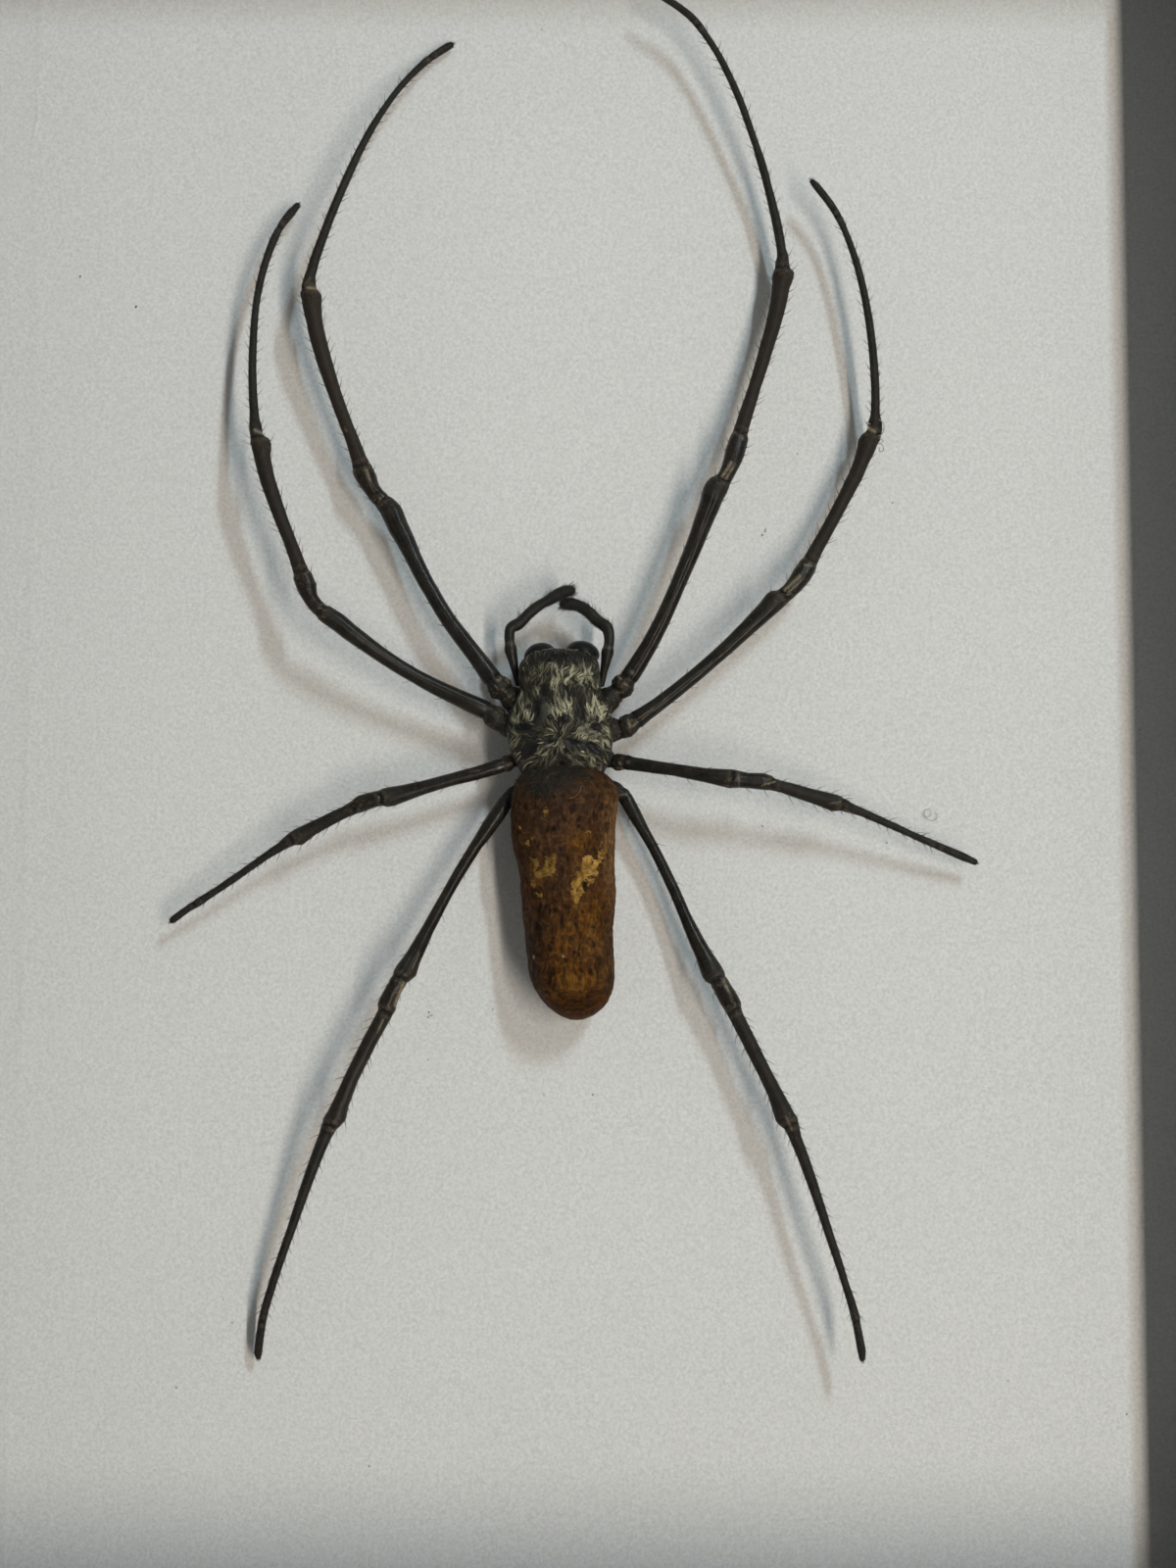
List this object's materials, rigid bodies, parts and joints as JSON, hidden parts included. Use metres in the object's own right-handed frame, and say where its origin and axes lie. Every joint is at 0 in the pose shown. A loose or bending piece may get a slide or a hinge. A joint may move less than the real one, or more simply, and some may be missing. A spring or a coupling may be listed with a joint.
{
  "type": "framed orb weaver spider specimen",
  "caption": "Dried large orb weaver spider, legs spread, mounted on off-white paper under glass in a slim black shadow-box frame with a hanger on its back.",
  "frame": {"origin": "middle of the frame's back face, at the back edge of the moulding", "axes": "+Z out through the glass, +Y towards the spider's head end (the frame's top when hung), +X to the right as seen through the glass"},
  "size_m": [0.176, 0.229, 0.026],
  "materials": {
    "black_wood": "black satin lacquer on wood moulding, faint grain",
    "clear_glass": "clear float glass, polished",
    "black_strip": "matte black",
    "off_white_paper": "uncoated card with a fine tooth, sparse specks and a faint crease along its left side",
    "white_foam_board": "matte white paper-faced foam board",
    "brown_hardboard": "smooth brown hardboard with fine fibres",
    "zinc_steel": "zinc plated, slightly dull",
    "brass_plate": "thin brass-plated pressed steel",
    "silver_haired_shell": "black horny shell under short silvery hairs lying flat",
    "red_brown_abdomen": "dried leathery skin, red-brown with ochre yellow patches, finely wrinkled",
    "dark_leg_shell": "dark brown-black glossy leg shell with fine bristles",
    "jaw_shell": "smooth black shell",
    "clear_glue": "dried clear glue"
  },
  "bodies": {
    "root": {"rail_top": "black_wood", "rail_bottom": "black_wood", "rail_left": "black_wood", "rail_right": "black_wood", "glass_pane": "clear_glass", "backing_paper": "off_white_paper", "foam_board": "white_foam_board", "back_board": "brown_hardboard", "spacer_left": "black_strip", "spacer_right": "black_strip", "spacer_top": "black_strip", "spacer_bottom": "black_strip", "point_top": "zinc_steel", "point_bottom": "zinc_steel", "point_left_1": "zinc_steel", "point_left_2": "zinc_steel", "point_right_1": "zinc_steel", "point_right_2": "zinc_steel", "sawtooth_hanger": "brass_plate", "hanger_nail_left": "zinc_steel", "hanger_nail_right": "zinc_steel", "prosoma": "silver_haired_shell", "chelicera_left": "jaw_shell", "chelicera_right": "jaw_shell", "abdomen": "red_brown_abdomen", "glue_dab": "clear_glue", "leg_left_1": "dark_leg_shell", "leg_left_2": "dark_leg_shell", "leg_left_3": "dark_leg_shell", "leg_left_4": "dark_leg_shell", "leg_right_1": "dark_leg_shell", "leg_right_2": "dark_leg_shell", "leg_right_3": "dark_leg_shell", "leg_right_4": "dark_leg_shell", "palp_left": "dark_leg_shell", "palp_right": "dark_leg_shell"}
  },
  "joints": []
}
